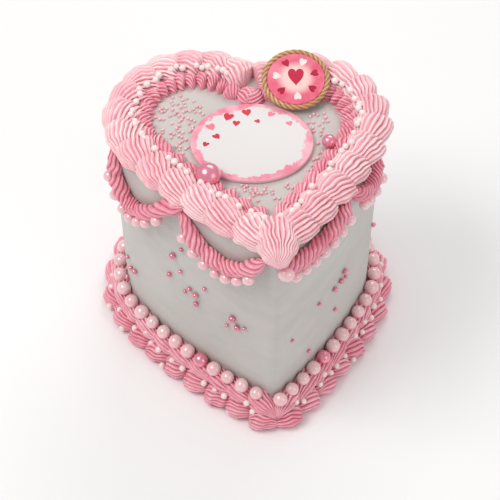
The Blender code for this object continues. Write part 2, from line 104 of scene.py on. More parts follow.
# A shell is highest at CREST, drops from there to its head and to its tail, and narrows to its tail.
CREST = 0.36
HEAD_DROP = 0.75
TAIL_DROP = 0.3
TAPER = 0.68
FULLNESS = 0.8
PEAK = math.sin(math.pi * CREST) ** FULLNESS * (1.0 - TAPER * CREST)
# The ridged upper part of a shell: its half angle, and the share of the form's faces that it takes.
RIDGED = math.radians(112.0)
RIDGED_SHARE = 0.84
# The ridges: how sharp they are, how much they wander, how strong each one is and how softly they end.
RIDGE_SHARPNESS = 0.75
RIDGE_WANDER = 0.16
RIDGE_STRENGTH = (0.75, 1.25)
RIDGE_FADE = 5.0
RIDGE_RISE = 1.25
GROOVE_DROP = 0.85
# The head of a shell lies this share of its length before the origin, and its ridges end in short teeth.
HEAD_SHARE = 0.45
TOOTH_SHARE = 0.045
# Roughness of the piping: the length and the height of its waves. Then how much shells stray, in millimetres
# and radians, and how much their sizes differ.
SHELL_ROUGH = (9.0 * MM, 0.75 * MM)
ROPE_ROUGH = (8.0 * MM, 0.55 * MM)
ROW_WANDER = 0.6
TURN_WANDER = 0.12
SIZE_RANGE = (0.95, 1.05)

# Swags: side, first and last travel, the heights of the ends, the sag, and 1 for an even curve.
SWAGS = {
    "swag_front_left": (-1, 12.0, 70.0, 175.5, 180.0, 19.5, 1.0),
    "swag_front_right": (1, 3.0, 65.0, 177.5, 180.5, 5.0, 1.0),
    "swag_side_left": (-1, 79.0, 138.0, 180.0, 180.0, 29.0, 0.7),
    "swag_side_right": (1, 74.0, 106.0, 180.0, 180.5, 8.0, 1.0),
    "swag_lobe_left": (-1, 178.0, 222.0, 180.0, 180.0, 20.0, 1.0),
    "swag_lobe_right": (1, 148.0, 186.0, 180.0, 180.0, 18.0, 1.0),
    "swag_back_left": (-1, 230.0, 266.0, 180.0, 180.0, 17.0, 1.0),
    "swag_back_right": (1, 193.0, 226.0, 180.0, 180.0, 16.0, 1.0),
}
SWAG_RADIUS = 4.9 * MM
SWAG_REACH = 5.2 * MM
# A rope starts at SWAG_START, a share of its span, runs for SWAG_RUN and is tucked in at both ends. Its
# strands turn by ROPE_TWIST in each ROPE_TWIST_LENGTH. The lengths are in millimetres.
SWAG_START = -0.09
SWAG_RUN = 1.13
TUCK_LENGTH = 11.0
TUCK_DEPTH = 3.0
ROPE_STRANDS = 6.0
ROPE_TWIST = 2.2
ROPE_TWIST_LENGTH = 13.0
ROPE_LUMP_LENGTH = 12.5
ROPE_TURNS = 2.6
# Pearls, in millimetres.
SWAG_PEARL = {"radius": 3.8, "pitch": 8.6, "drop": 8.5, "reach": 8.0}
TIP_PEARL = {"travel": 1.0, "reach": 6.0, "height": 175.0, "radius": 5.2}
BASE_PEARL = {"radius": 5.0, "pitch": 11.6, "reach": 5.4, "height": 27.0}
SMALL_PEARL_RADIUS = (2.0, 2.5)
# The side and place in the row of the two metallic base pearls.
METAL_PEARLS = ((-1, 5), (1, 4))
# The reaches and heights of the small pearls on the base, the span that they leave free at both ends of the
# row, and the gap between them.
SMALL_BASE_PEARLS = ((13.0, 14.5), (17.0, 5.5), (11.0, 18.0))
SMALL_BASE_START = 10.0
SMALL_BASE_END = 16.0
SMALL_BASE_GAP = (5.5, 11.0)
# The pearls between the top rows lie in groups of up to `most`, with a gap after each and a longer pause
# after a group.
VALLEY_PEARLS = {
    "start": 20.0, "end": 4.0, "reach": -15.2, "wander": 1.6, "lift": (8.6, 9.8), "most": 3,
    "gap": (4.6, 5.6), "pause": (2.0, 9.0),
}
# Dragees on the wall: side, travel, height and width.
WALL_DRAGEES = (
    (-1, 138, 67, 3.4), (-1, 133, 60, 4.0), (-1, 127, 63, 4.4), (-1, 144, 35, 4.0), (-1, 83, 125, 5.0),
    (-1, 75, 138, 3.0), (-1, 88, 99, 3.8), (-1, 77, 112, 3.2), (-1, 74, 92, 3.0), (-1, 69.5, 99, 3.6),
    (-1, 64, 97, 4.4), (-1, 56, 111, 3.2), (-1, 64, 87, 4.2), (-1, 33, 97, 5.2), (-1, 38, 84, 3.0),
    (-1, 29.5, 89, 4.4), (-1, 24, 92, 3.2), (1, 73, 96, 4.6), (1, 68.5, 90, 4.2), (1, 75, 87, 3.0),
    (1, 61, 89, 4.2), (1, 43, 92, 3.2), (1, 64, 61, 3.4), (1, 15.5, 79, 2.8), (1, 34, 45, 3.4),
    (-1, 141, 118, 4.0), (1, 118, 96, 3.6),
    (1, 150, 70, 3.8), (1, 205, 104, 4.2), (1, 211, 96, 3.2),
    (-1, 190, 80, 4.2), (-1, 240, 104, 4.0),
)
# Nonpareils on the top: the middle and the half widths of each patch, and how many.
NONPAREIL_PATCHES = (
    ((-43.8, 26.2), (17.0, 26.0), 66), ((10.2, -28.8), (22.0, 9.0), 32), ((47.2, 7.2), (12.0, 30.0), 30),
)
NONPAREIL_TRIES = 900
NONPAREIL_GAP = 1.9 * MM
NONPAREIL_INSET = 26.5 * MM
NONPAREIL_RADIUS = (0.88, 1.12)
PLAQUE_MIDDLE = (3.59 * MM, 9.01 * MM)
PLAQUE_HALF = (39.5 * MM, 33.0 * MM)
PLAQUE_THICK = 3.0 * MM
TOPPER_MIDDLE = (32.39 * MM, 56.11 * MM, 196.6 * MM)
TOPPER_RADIUS = 22.4 * MM
TOPPER_TILT = math.radians(14.0)
# The tan rope round the topper: its radius, its strands and how often they turn.
ROPE_RADIUS = 1.7 * MM
FRAME_STRANDS = 3.0
FRAME_TWIST = 30.0
LARGE_BALL = ((-23.71 * MM, -22.99 * MM), 7.9 * MM)
SMALL_BALL = ((52.89 * MM, 7.31 * MM), 4.7 * MM)
# Gaps that the icing keeps: under the plaque and the balls and behind the swags, then round the topper, the
# balls and the floor.
CLEARANCE = 0.3 * MM
ROOM_UNDER_TOPPER = 0.4 * MM
ROOM_BESIDE_TOPPER = 0.6 * MM
BALL_ROOM = 0.2 * MM
FLOOR_ROOM = 0.1 * MM

# The camera, fitted to the photograph.
EYE = (2.31 * MM, -589.05 * MM, 874.2 * MM)
EYE_PITCH = math.radians(36.735)
LENS = 101.99

# Soft lights: name, place, aim, size, power and colour. The white sky is the rest of the light.
LIGHTS = (
    ("key_light", (-0.55, -0.15, 1.05), (0.0, 0.0, 0.12), (0.55, 0.45), 5.2, (1.0, 0.985, 0.97)),
    ("back_light", (0.25, 0.75, 0.95), (0.0, 0.0, 0.12), (0.7, 0.35), 3.0, (1.0, 0.99, 0.98)),
    ("fill_light", (0.75, -0.6, 0.6), (0.0, 0.0, 0.1), (0.6, 0.6), 1.4, (1.0, 0.98, 0.96)),
)
SKY_STRENGTH = 0.56


def end_direction(side):
    """The direction of the outward normal where the lobe reaches the notch, and the half's full length."""
    start = TIP_HALF_ANGLE[side]
    turn = start - SIDE_LENGTH[side] / SIDE_RADIUS[side]
    across = SIDE_RADIUS[side] * (math.cos(turn) - math.cos(start))
    end = -math.acos(math.cos(turn) - across / LOBE_RADIUS[side])
    return end, SIDE_LENGTH[side] + (turn - end) * LOBE_RADIUS[side]


def on_heart(side, travel, reach):
    """Plan positions (x, y) for arrays of travel and reach. Past the notch they fan round it."""
    start, big, lobe = TIP_HALF_ANGLE[side], SIDE_RADIUS[side], LOBE_RADIUS[side]
    end, length = end_direction(side)
    travel, reach = np.broadcast_arrays(np.asarray(travel, float), np.asarray(reach, float))
    along = np.minimum(travel, length)
    turn_side = start - along / big
    x_side = big * (np.cos(turn_side) - math.cos(start))
    y_side = big * (math.sin(start) - np.sin(turn_side))
    bend = start - SIDE_LENGTH[side] / big
    turn_lobe = bend - (along - SIDE_LENGTH[side]) / lobe
    x_lobe = big * (math.cos(bend) - math.cos(start)) + lobe * (np.cos(turn_lobe) - math.cos(bend))
    y_lobe = big * (math.sin(start) - math.sin(bend)) + lobe * (math.sin(bend) - np.sin(turn_lobe))
    on_side = along <= SIDE_LENGTH[side]
    turn = np.where(on_side, turn_side, turn_lobe)
    turn = np.where(travel > length, end + (travel - length) / NOTCH_SPREAD, turn)
    x = side * (np.where(on_side, x_side, x_lobe) + reach * np.cos(turn))
    y = np.where(on_side, y_side, y_lobe) - reach * np.sin(turn)
    return (TIP[0] + x * math.cos(TURN) - y * math.sin(TURN),
            TIP[1] + x * math.sin(TURN) + y * math.cos(TURN))


def on_wall(side, travel, reach, height):
    """A single place on the heart, as a point."""
    x, y = on_heart(side, travel, reach)
    return np.array((float(x), float(y), height))


def half_length(side):
    """The travel from the tip to the notch."""
    return end_direction(side)[1]


class Form:
    """The vertices and faces of a primitive, as arrays that many copies can be made from."""

    def __init__(self, build):
        bm = bmesh.new()
        build(bm)
        bmesh.ops.triangulate(bm, faces=bm.faces)
        bm.verts.ensure_lookup_table()
        self.points = np.array([vert.co for vert in bm.verts])
        self.faces = np.array([[vert.index for vert in face.verts] for face in bm.faces])
        bm.free()


def sphere_form(segments, rings):
    """A ball of radius 1 with its poles on the Z axis."""
    return Form(lambda bm: bmesh.ops.create_uvsphere(bm, u_segments=segments, v_segments=rings, radius=1.0))


def torus_form(around, along, major, minor):
    """A ring lying flat, from a circle that is spun round the Z axis."""
    def build(bm):
        bmesh.ops.create_circle(bm, cap_ends=False, segments=around, radius=minor)
        for vert in bm.verts:
            vert.co = Vector((major + vert.co.x, 0.0, vert.co.y))
        bmesh.ops.spin(bm, geom=bm.verts[:] + bm.edges[:], axis=(0, 0, 1), cent=(0, 0, 0),
                       angle=math.tau, steps=along, use_merge=True)
        bmesh.ops.recalc_face_normals(bm, faces=bm.faces)
    return Form(build)


class Heap:
    """Copies of forms, gathered into one mesh.

    crest is 1 on a ridge and 0 in a groove, and tint differs from copy to copy.
    """

    def __init__(self):
        self.points, self.faces, self.crest, self.tint, self.count = [], [], [], [], 0

    def add(self, points, faces, crest, tint):
        self.points.append(points)
        self.faces.append(faces + self.count)
        self.crest.append(np.broadcast_to(crest, len(points)))
        self.tint.append(np.full(len(points), tint))
        self.count += len(points)

    def make(self, name, look, slot, nodes):
        """The finished piece, which rides on the cake and stands for the nodes."""
        mesh = bpy.data.meshes.new(name)
        mesh.from_pydata(np.concatenate(self.points), [], np.concatenate(self.faces))
        for label, values in (("crest", self.crest), ("tint", self.tint)):
            mesh.attributes.new(label, "FLOAT", "POINT").data.foreach_set("value", np.concatenate(values))
        mesh.materials.append(look)
        mesh.shade_smooth()
        made = bpy.data.objects.new(name, mesh)
        bpy.context.scene.collection.objects.link(made)
        return place(made, nodes)


def place(made, nodes):
    """Puts a piece on the cake, in the place of the nodes."""
    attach(made, "root")
    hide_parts(*nodes)
    return made


def wavy(points, size, depth, draw, waves=7):
    """Moves points by a few smooth waves, so that no two copies are alike."""
    moved = points.copy()
    for _ in range(waves):
        way = draw.normal(size=3)
        way /= np.linalg.norm(way)
        push = draw.normal(size=3)
        push *= depth / np.linalg.norm(push) / math.sqrt(waves)
        phase = draw.uniform(0.0, math.tau)
        moved += np.sin(points @ way * (math.tau / size) + phase)[:, None] * push
    return moved


def ridge_wave(turns, sharp):
    """1 on the ridges and 0 in narrow grooves between them."""
    return np.abs(np.cos(turns / 2.0)) ** sharp


def piped_form(form, row, size, curl, draw):
    """A shell round the origin, in metres, with the ridges of its row and a size of its own.

    It has a fat head towards +X and a tail that tapers away behind it.
    The ridges are on its upper part, and run from the tail over the crest and down the front of the head.
    """
    unit, ridges = form.points, row["ridges"]
    share = np.arccos(np.clip(unit[:, 2], -1.0, 1.0)) / math.pi
    even = np.arctan2(unit[:, 1], unit[:, 0]) / math.pi
    inner = np.abs(even) < RIDGED_SHARE
    tilt = np.where(inner, even / RIDGED_SHARE * RIDGED,
                    np.sign(even) * (RIDGED + (np.abs(even) - RIDGED_SHARE) / (1.0 - RIDGED_SHARE)
                                     * (math.pi - RIDGED)))
    swell = np.sin(math.pi * share) ** FULLNESS * (1.0 - TAPER * share) / PEAK
    lane = (tilt + RIDGED) / (2.0 * RIDGED) * ridges + curl * np.sin(math.pi * share) * np.cos(tilt / 2.0)
    lane = lane + RIDGE_WANDER * np.sin(5.0 * share + draw.uniform(0.0, math.tau)) * np.sin(3.0 * tilt)
    wave = np.abs(np.sin(math.pi * lane)) ** RIDGE_SHARPNESS
    edge = np.clip((RIDGED - np.abs(tilt)) * RIDGE_FADE, 0.0, 1.0)
    strengths = draw.uniform(*RIDGE_STRENGTH, size=ridges + 4)
    strength = strengths[np.clip(np.floor(lane).astype(int), 0, ridges + 3)]
    groove = row["depth"] * edge * np.sin(math.pi * np.clip(share * 1.08, 0.0, 1.0)) ** 0.35 * strength
    ridge = 1.0 + groove * (RIDGE_RISE * wave - GROOVE_DROP)
    head = np.clip(1.0 - share / CREST, 0.0, 1.0) ** 2 * HEAD_DROP
    tail = np.clip((share - CREST) / (1.0 - CREST), 0.0, 1.0) ** 2 * TAIL_DROP
    x = size["length"] * (HEAD_SHARE - 0.5 * (1.0 - np.cos(math.pi * share)))
    x += size["length"] * TOOTH_SHARE * (wave - 0.4) * edge * (share < CREST) * np.sin(math.pi * share)
    points = np.stack((
        x,
        size["half_width"] * swell * ridge * np.sin(tilt),
        size["half_height"] * (swell * ridge * np.cos(tilt) - head - tail),
    ), axis=1)
    # The second value is the crest mask for painted shade: the unridged underside gets 0.2, close to the
    # painted groove shade.
    return wavy(points * MM, *SHELL_ROUGH, draw), np.where(edge > 0.5, wave, 0.2)


def lay_on_heart(points, side, travel, reach, height, turn):
    """Bends a shell along the outline, with its head towards growing travel and turned outward."""
    along = travel + points[:, 0] * math.cos(turn) - points[:, 1] * math.sin(turn)
    out = reach + points[:, 0] * math.sin(turn) + points[:, 1] * math.cos(turn)
    x, y = on_heart(side, along, out)
    return np.stack((x, y, height + points[:, 2]), axis=1)


def clear_of(points, middle, radius):
    """Pushes points out of a ball, as the ball pressed them aside."""
    away = points - np.asarray(middle)
    far = np.linalg.norm(away, axis=1)
    near = far < radius
    points = points.copy()
    points[near] = np.asarray(middle) + away[near] / far[near, None] * radius
    return points


def under_topper(points):
    """Presses points down to the underside of the leaning topper."""
    x, y = points[:, 0] - TOPPER_MIDDLE[0], points[:, 1] - TOPPER_MIDDLE[1]
    below = (ROPE_RADIUS + ROOM_UNDER_TOPPER) / math.cos(TOPPER_TILT)
    limit = TOPPER_MIDDLE[2] + y * math.tan(TOPPER_TILT) - below
    across, along = x / (TOPPER_RADIUS + ROOM_BESIDE_TOPPER), y / (TOPPER_RADIUS * math.cos(TOPPER_TILT))
    inside = across ** 2 + along ** 2 < 1.0
    points = points.copy()
    points[:, 2] = np.where(inside, np.minimum(points[:, 2], limit), points[:, 2])
    return points


def settle(points):
    """Keeps piping clear of the balls, the topper and the floor."""
    for (x, y), radius in (LARGE_BALL, SMALL_BALL):
        points = clear_of(points, (x, y, CAKE_HEIGHT + radius), radius + BALL_ROOM)
    points = under_topper(points)
    points[:, 2] = np.maximum(points[:, 2], FLOOR_ROOM)
    return points


def shell_row(heap, row, draw):
    """A row of shells along both halves, each a little unlike the next."""
    form = sphere_form(*row["form"])
    for side in (1, -1):
        first, last = row["start"] * MM, half_length(side) - row["end"] * MM
        count = round((last - first) / (row["pitch"] * MM)) + 1
        for index in range(count):
            travel = first + (last - first) * index / (count - 1)
            travel += draw.uniform(-ROW_WANDER, ROW_WANDER) * MM
            size = {key: row[key] * draw.uniform(*SIZE_RANGE)
                    for key in ("length", "half_width", "half_height")}
            points, wave = piped_form(form, row, size, row["curl"] * side, draw)
            turn = row["turns"][side] + draw.uniform(-TURN_WANDER, TURN_WANDER)
            points = lay_on_heart(points, side, travel, row["reach"] * MM, row["height"] * MM, turn)
            heap.add(settle(points), form.faces, wave, draw.random())


def add_pearl(heap, form, middle, radius, draw):
    """A pearl or dragee, a little out of round."""
    size = radius * draw.uniform(0.97, 1.03, size=3)
    points = wavy(form.points * size, radius * 2.5, radius * 0.02, draw, 3) + middle
    heap.add(points, form.faces, 1.0, draw.random())


class Shade:
    """A number in a shader. Operators on it make Math nodes."""

    def __init__(self, tree, socket):
        self.tree, self.socket = tree, socket

    def node(self, kind, output=0, settings=None, **inputs):
        """Any other node: its settings, and the values of its inputs by name, or by number as i0 and i1."""
        made = self.tree.nodes.new("ShaderNode" + kind)
        for key, value in (settings or {}).items():
            setattr(made, key, value)
        for key, value in inputs.items():
            slot = made.inputs[int(key[1:])] if key[0] == "i" and key[1:].isdigit() else made.inputs[key]
            connect(self.tree, slot, value)
        return Shade(self.tree, made.outputs[output])

    def math(self, operation, *values):
        return self.node("Math", 0, {"operation": operation}, **{f"i{i}": v for i, v in enumerate(values)})

    def __add__(self, other):
        return self.math("ADD", self, other)

    __radd__ = __add__

    def __sub__(self, other):
        return self.math("SUBTRACT", self, other)

    def __rsub__(self, other):
        return self.math("SUBTRACT", other, self)

    def __mul__(self, other):
        return self.math("MULTIPLY", self, other)

    __rmul__ = __mul__

    def __truediv__(self, other):
        return self.math("DIVIDE", self, other)

    def __pow__(self, other):
        return self.math("POWER", self, other)

    def below(self, other):
        return self.math("LESS_THAN", self, other)

    def smooth(self, low, high, first=0.0, last=1.0):
        """A soft step: first below low, last above high."""
        return self.node("MapRange", 0, {"interpolation_type": "SMOOTHSTEP"},
                         i0=self, i1=low, i2=high, i3=first, i4=last)

    def mix(self, first, last):
        """The colour between two colours at this share."""
        return self.node("Mix", 2, {"data_type": "RGBA", "clamp_factor": True}, i0=self, i6=first, i7=last)


def connect(tree, slot, value):
    """Gives a socket a link, a colour or a number."""
    if isinstance(value, Shade):
        tree.links.new(value.socket, slot)
    elif isinstance(value, tuple) and len(value) == 3 and slot.type == "RGBA":
        slot.default_value = (*value, 1.0)
    else:
        slot.default_value = value


def srgb(red, green, blue):
    """A colour given as 8 bit display values."""
    return tuple((value / 255.0) ** 2.2 for value in (red, green, blue))


class Look:
    """A procedural material on object coordinates, with a Principled shader."""

    def __init__(self, name, roughness=0.5, metallic=0.0, **constants):
        self.material = bpy.data.materials.new(name)
        self.material.use_nodes = True
        self.tree = self.material.node_tree
        self.shader = self.tree.nodes["Principled BSDF"]
        self.shader.inputs["Metallic"].default_value = metallic
        self.shader.inputs["Roughness"].default_value = roughness
        for key, value in constants.items():
            self.shader.inputs[key.replace("_", " ")].default_value = value
        self.place = Shade(self.tree, self.tree.nodes.new("ShaderNodeTexCoord").outputs["Object"])

    def noise(self, scale, detail=3.0, roughness=0.55):
        return self.place.node("TexNoise", 0, None, Vector=self.place, Scale=scale, Detail=detail,
                               Roughness=roughness)

    def attribute(self, name):
        return self.place.node("Attribute", 2, {"attribute_name": name})

    def axis(self, index):
        return self.place.node("SeparateXYZ", index, None, i0=self.place)

    def paint(self, **values):
        for key, value in values.items():
            connect(self.tree, self.shader.inputs[key.replace("_", " ")], value)

    def bump(self, height, distance, strength=1.0):
        made = self.place.node("Bump", 0, None, Height=height, Distance=distance, Strength=strength)
        self.paint(Normal=made)


def icing_look(name, groove, crest, ridge_top_highlight, blotch_tint):
    """Piped icing: painted shade in the grooves, a paler ridge, painted highlights on the ridge tops, rosier
    blotches.
    """
    look = Look(name, 0.42, Subsurface_Weight=0.12, Subsurface_Scale=0.002, Specular_IOR_Level=0.45)
    wave = look.attribute("crest")
    tint = look.attribute("tint")
    grain = look.noise(260.0)
    level = wave + (grain - 0.5) * 0.5 + (tint - 0.5) * 0.16
    # Painted shade and highlight: the crest mask gives the grooves the darker colour as painted shade and
    # the ridge tops the palest colour as a painted highlight.
    colour = level.smooth(0.05, 0.72).mix(groove, crest)
    colour = level.smooth(0.78, 1.12).mix(colour, ridge_top_highlight)
    blotch = look.noise(55.0)
    colour = (blotch.smooth(0.42, 0.75) * 0.5).mix(colour, blotch_tint)
    look.paint(Base_Color=colour, Roughness=0.36 + grain * 0.2)
    look.bump(look.noise(900.0, 4.0) * 0.6 + look.noise(320.0) * 0.8, 0.35 * MM, 0.5)
    return look.material


def pearl_look(name, colour, second, roughness, metallic, coat):
    """Shiny sugar, between two colours from pearl to pearl."""
    look = Look(name, roughness, metallic, Coat_Weight=coat, Coat_Roughness=0.08)
    tint = look.attribute("tint")
    share = tint * 0.6 + look.noise(180.0) * 0.5
    look.paint(Base_Color=share.mix(colour, second), Roughness=roughness + look.noise(400.0) * 0.12)
    look.bump(look.noise(700.0), 0.1 * MM, 0.25)
    return look.material


def grey_look():
    """Smoothed grey buttercream, with faint strokes and pits."""
    look = Look("grey_buttercream", 0.5, Subsurface_Weight=0.08, Subsurface_Scale=0.003,
                Specular_IOR_Level=0.35)
    stretched = look.place.node("Mapping", 0, None, i0=look.place, Scale=(26.0, 26.0, 90.0))
    strokes = look.place.node("TexNoise", 0, None, Vector=stretched, Scale=1.0, Detail=4.0, Roughness=0.6)
    cloud = look.noise(16.0)
    share = strokes * 0.5 + cloud * 0.5
    colour = share.smooth(0.3, 0.7).mix(srgb(193, 189, 184), srgb(205, 201, 197))
    look.paint(Base_Color=colour, Roughness=0.42 + strokes * 0.2)
    look.bump(strokes + look.noise(120.0) * 0.35, 0.5 * MM, 0.35)
    return look.material


def make_body():
    """The smoothed heart with its rounded top edge."""
    bm = bmesh.new()
    ring = []
    for side in (1, -1):
        length = half_length(side)
        travel = np.linspace(BODY_START, length - BODY_END, BODY_STEPS)
        x, y = on_heart(side, travel, 0.0)
        half = [bm.verts.new((a, b, 0.0)) for a, b in zip(x, y)]
        ring += half if side == 1 else half[::-1]
    ring.append(bm.verts.new((TIP[0] - TIP_SETBACK * math.sin(TURN),
                              TIP[1] + TIP_SETBACK * math.cos(TURN), 0.0)))
    base = bm.faces.new(ring)
    raised = bmesh.ops.extrude_face_region(bm, geom=[base])["geom"]
    lifted = [item for item in raised if isinstance(item, bmesh.types.BMVert)]
    bmesh.ops.translate(bm, verts=lifted, vec=(0.0, 0.0, CAKE_HEIGHT))
    rim = [edge for edge in bm.edges if all(vert.co.z > CAKE_HEIGHT - MM for vert in edge.verts)]
    bmesh.ops.bevel(bm, geom=rim, offset=TOP_EDGE_SOFT, segments=7, profile=0.5, affect="EDGES")
    bmesh.ops.recalc_face_normals(bm, faces=bm.faces)
    mesh = bpy.data.meshes.new("iced_heart")
    bm.to_mesh(mesh)
    bm.free()
    mesh.shade_smooth()
    mesh.set_sharp_from_angle(angle=math.radians(40.0))
    mesh.materials.append(grey_look())
    made = bpy.data.objects.new("iced_heart", mesh)
    bpy.context.scene.collection.objects.link(made)
    return place(made, ["cake_body"])


def is_bare_top(x, y, inset):
    """Whether a place on the top is clear of the border, the plaque, the topper and the balls."""
    for side in (1, -1):
        rim_x, rim_y = on_heart(side, np.linspace(0.0, half_length(side), 120), 0.0)
        if np.min(np.hypot(rim_x - x, rim_y - y)) < inset:
            return False
    room = 1.3 * MM
    across = (x - PLAQUE_MIDDLE[0]) / (PLAQUE_HALF[0] + room)
    along = (y - PLAQUE_MIDDLE[1]) / (PLAQUE_HALF[1] + room)
    if across * across + along * along < 1.0:
        return False
    if math.hypot(x - TOPPER_MIDDLE[0], y - TOPPER_MIDDLE[1]) < TOPPER_RADIUS + room:
        return False
    return all(math.hypot(x - a, y - b) > radius * 0.6 for (a, b), radius in (LARGE_BALL, SMALL_BALL))


def make_toppings():
    """The nonpareils on the top and the dragees on the wall."""
    draw = np.random.default_rng(SEED)
    tiny = sphere_form(12, 8)
    sugar = Heap()
    for (x, y), (half_x, half_y), count in NONPAREIL_PATCHES:
        placed = []
        for _ in range(NONPAREIL_TRIES):
            angle, out = draw.uniform(0.0, math.tau), math.sqrt(draw.random())
            spot = np.array((x + half_x * out * math.cos(angle), y + half_y * out * math.sin(angle))) * MM
            apart = all(np.hypot(*(spot - other)) > NONPAREIL_GAP for other in placed)
            if len(placed) < count and apart and is_bare_top(*spot, NONPAREIL_INSET):
                placed.append(spot)
        for spot in placed:
            radius = draw.uniform(*NONPAREIL_RADIUS) * MM
            add_pearl(sugar, tiny, np.array((*spot, CAKE_HEIGHT + 0.7 * radius)), radius, draw)
    look = pearl_look("nonpareil_sugar", srgb(244, 172, 184), srgb(250, 206, 210), 0.25, 0.0, 0.8)
    sugar.make("nonpareils", look, "rose_icing", ["cake_body"])
    fine = sphere_form(24, 16)
    drops = Heap()
    for side, travel, height, across in WALL_DRAGEES:
        radius = across * MM / 2.0
        add_pearl(drops, fine, on_wall(side, travel * MM, 0.7 * radius, height * MM), radius, draw)
    look = pearl_look("dragee_sugar", srgb(226, 132, 154), srgb(238, 162, 176), 0.2, 0.75, 0.6)
    drops.make("wall_dragees", look, "rose_icing", ["cake_body"])


def make_top_border(white):
    """The outer and inner rows of shells, the fan over the tip and the pearls between the rows."""
    draw = np.random.default_rng(SEED + 1)
    outer, tip_fan, inner, dots = Heap(), Heap(), Heap(), Heap()
    shell_row(outer, TOP_OUTER, draw)
    form = sphere_form(*TIP_SHELL["form"])
    points, wave = piped_form(form, TIP_SHELL, TIP_SHELL, TIP_SHELL["curl"], draw)
    back = TIP_SHELL["back"] * MM + points[:, 0]
    points = np.stack((TIP[0] + points[:, 1] * math.cos(TURN) - back * math.sin(TURN),
                       TIP[1] + points[:, 1] * math.sin(TURN) + back * math.cos(TURN),
                       TIP_SHELL["height"] * MM + points[:, 2]), axis=1)
    tip_fan.add(points, form.faces, wave, 0.5)
    # The first colour is painted shade in the grooves, the third a painted highlight on the ridge tops.
    look = icing_look("pale_pink_piping", srgb(226, 128, 148), srgb(246, 192, 199), srgb(252, 234, 234),
                      srgb(243, 174, 186))
    outer.make("outer_shells", look, "pale_pink_icing", ["top_border"])
    tip_fan.make("tip_fan", look, "pale_pink_icing", ["top_border"])
    shell_row(inner, TOP_INNER, draw)
    # The first colour is painted shade in the grooves, the third a painted highlight on the ridge tops.
    look = icing_look("rose_pink_piping", srgb(202, 90, 118), srgb(238, 152, 169), srgb(248, 202, 210),
                      srgb(228, 128, 150))
    inner.make("inner_shells", look, "pale_pink_icing", ["top_border"])
    fine = sphere_form(24, 16)
    row = VALLEY_PEARLS
    for side in (1, -1):
        travel = row["start"] * MM
        while travel < half_length(side) - row["end"] * MM:
            for _ in range(int(draw.integers(1, row["most"] + 1))):
                reach = row["reach"] + draw.uniform(-row["wander"], row["wander"])
                spot = on_wall(side, travel, reach * MM, CAKE_HEIGHT + draw.uniform(*row["lift"]) * MM)
                far = math.hypot(spot[0] - TOPPER_MIDDLE[0], spot[1] - TOPPER_MIDDLE[1])
                if far > TOPPER_RADIUS + 3.0 * MM:
                    add_pearl(dots, fine, spot, draw.uniform(*SMALL_PEARL_RADIUS) * MM, draw)
                travel += draw.uniform(*row["gap"]) * MM
            travel += draw.uniform(*row["pause"]) * MM
    dots.make("valley_pearls", white, "pale_pink_icing", ["top_border"])


def make_base_border(white, pearly, metal):
    """The two rows of shells round the base, the pearls above them and the small pearls on them."""
    draw = np.random.default_rng(SEED + 2)
    # The first colour is painted shade in the grooves, the third a painted highlight on the ridge tops.
    look = icing_look("base_piping", srgb(200, 86, 114), srgb(240, 160, 176), srgb(250, 206, 213),
                      srgb(232, 134, 154))
    for name, row in (("base_shells", BASE_OUTER), ("base_ruffle", BASE_UPPER)):
        heap = Heap()
        shell_row(heap, row, draw)
        heap.make(name, look, "rose_icing", ["base_border"])
    large, dots, shiny = Heap(), Heap(), Heap()
    form, fine = sphere_form(36, 24), sphere_form(24, 16)
    for side in (1, -1):
        row_end = half_length(side) - 7.0 * MM
        count = round(row_end / (BASE_PEARL["pitch"] * MM))
        for index in range(count + 1):
            if side == 1 or index > 0:
                spot = on_wall(side, row_end * index / count, BASE_PEARL["reach"] * MM,
                               BASE_PEARL["height"] * MM)
                heap = shiny if (side, index) in METAL_PEARLS else large
                add_pearl(heap, form, spot, BASE_PEARL["radius"] * MM * draw.uniform(0.94, 1.06), draw)
        travel = SMALL_BASE_START * MM
        while travel < half_length(side) - SMALL_BASE_END * MM:
            reach, height = SMALL_BASE_PEARLS[int(draw.integers(0, len(SMALL_BASE_PEARLS)))]
            add_pearl(dots, fine, on_wall(side, travel, reach * MM, height * MM),
                      draw.uniform(*SMALL_PEARL_RADIUS) * MM, draw)
            travel += draw.uniform(*SMALL_BASE_GAP) * MM
    large.make("base_pearls", pearly, "pale_pink_icing", ["base_border"])
    shiny.make("base_metal_pearls", metal, "metallic_pink", ["base_border"])
    dots.make("base_small_pearls", white, "pale_pink_icing", ["base_border"])


def swag_line(plan, share):
    """Travel and height along a swag. A share below 0 or above 1 is past an end, up under the border."""
    _, first, last, first_height, last_height, sag, lean = plan
    travel = first + (last - first) * np.sign(share) * np.abs(share) ** lean
    height = first_height + (last_height - first_height) * share - 4.0 * sag * share * (1.0 - share)
    return travel * MM, height * MM


